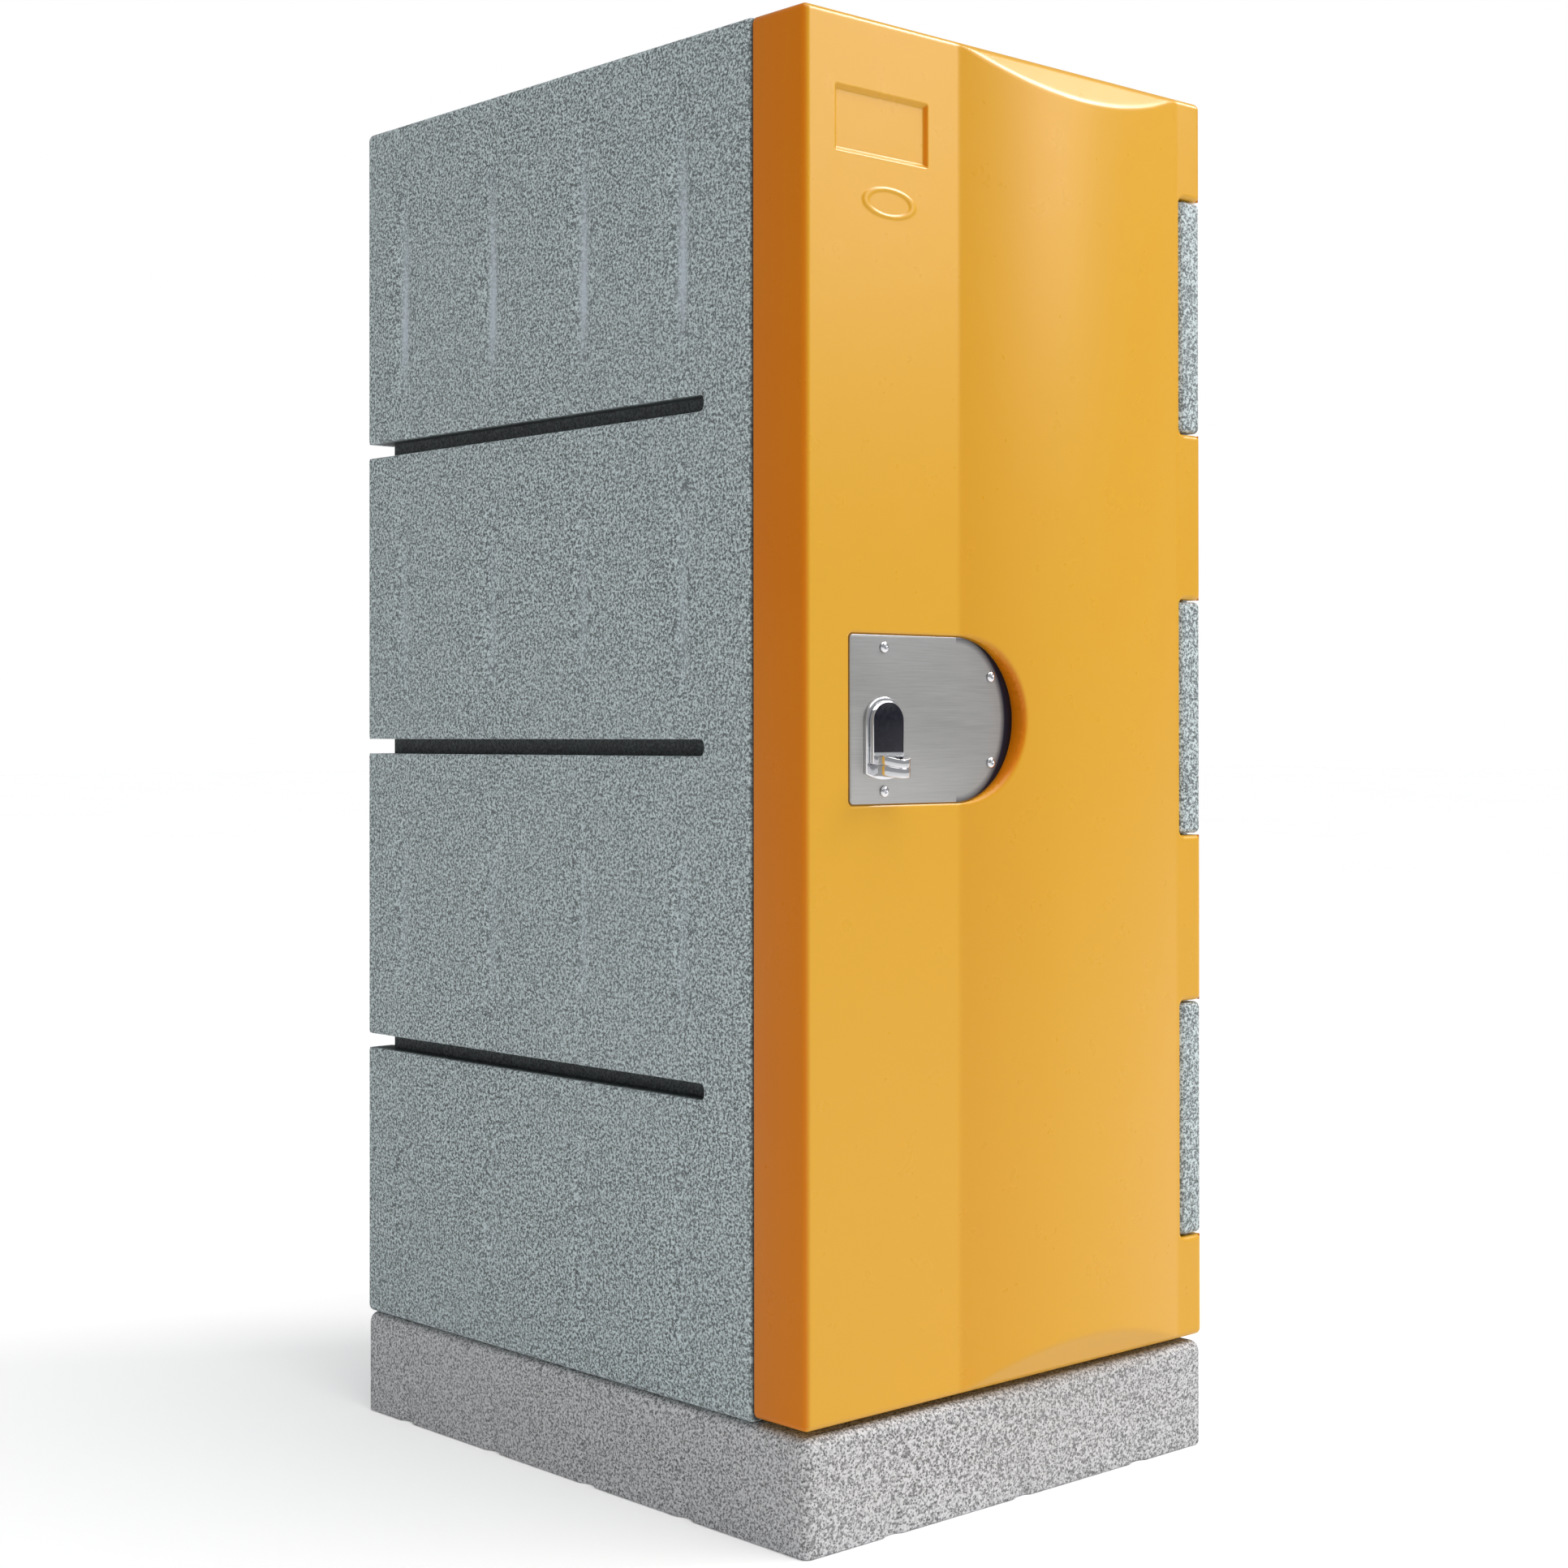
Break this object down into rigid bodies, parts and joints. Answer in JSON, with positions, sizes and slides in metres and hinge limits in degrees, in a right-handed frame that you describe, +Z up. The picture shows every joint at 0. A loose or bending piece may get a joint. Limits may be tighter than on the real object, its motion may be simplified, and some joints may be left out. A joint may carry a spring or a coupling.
{
  "type": "locker",
  "caption": "Tall plastic locker on a plinth with a hinged crowned door and a padlock hasp that turns an inner cam.",
  "frame": {"origin": "on the floor, under the middle of the object", "axes": "+Z up; the door faces -Y; +X is to the right of someone who faces the door, where the hinge is"},
  "size_m": [0.382, 0.5224, 0.968],
  "materials": {
    "speckled_grey_plastic": "moulded, fine light and dark speckle",
    "orange_plastic": "moulded, soft gloss",
    "brushed_steel": "brushed along its length",
    "chrome": "polished",
    "black_plastic": "satin",
    "zinc_plated_steel": "zinc plated"
  },
  "bodies": {
    "cabinet": {"plinth": "speckled_grey_plastic", "plinth_dowel_1": "black_plastic", "plinth_dowel_2": "black_plastic", "plinth_dowel_3": "black_plastic", "plinth_dowel_4": "black_plastic", "left_side_panel": "speckled_grey_plastic", "right_side_panel": "speckled_grey_plastic", "back_panel": "speckled_grey_plastic", "top_panel": "speckled_grey_plastic", "bottom_panel": "speckled_grey_plastic", "strike_plate": "brushed_steel", "strike_screw_1": "zinc_plated_steel", "strike_screw_2": "zinc_plated_steel", "hinge_rod": "zinc_plated_steel"},
    "door": {"door_shell": "orange_plastic", "door_inner_panel": "orange_plastic", "door_screw_1": "zinc_plated_steel", "door_screw_2": "zinc_plated_steel", "door_screw_3": "zinc_plated_steel", "door_screw_4": "zinc_plated_steel", "door_screw_5": "zinc_plated_steel", "door_screw_6": "zinc_plated_steel", "hinge_rod_cap": "orange_plastic", "lock_plate": "brushed_steel", "plate_screw_1": "chrome", "plate_screw_2": "chrome", "plate_screw_3": "chrome", "plate_screw_4": "chrome", "latch_rosette": "chrome", "latch_nut": "zinc_plated_steel"},
    "latch": {"turn_lever": "chrome", "lever_inlay": "black_plastic", "latch_spindle": "zinc_plated_steel", "latch_cam": "zinc_plated_steel", "cam_nut": "zinc_plated_steel"}
  },
  "joints": [
    {"name": "door_hinge", "type": "hinge", "parent": "cabinet", "child": "door", "pos_m": [0.1815, -0.23125, 0.5245], "axis": [0, 0, 1], "range_deg": [0, 110]},
    {"name": "latch_turn", "type": "hinge", "parent": "door", "child": "latch", "pos_m": [-0.1248, -0.24075, 0.5194], "axis": [0, 1, 0], "range_deg": [0, 90]}
  ]
}
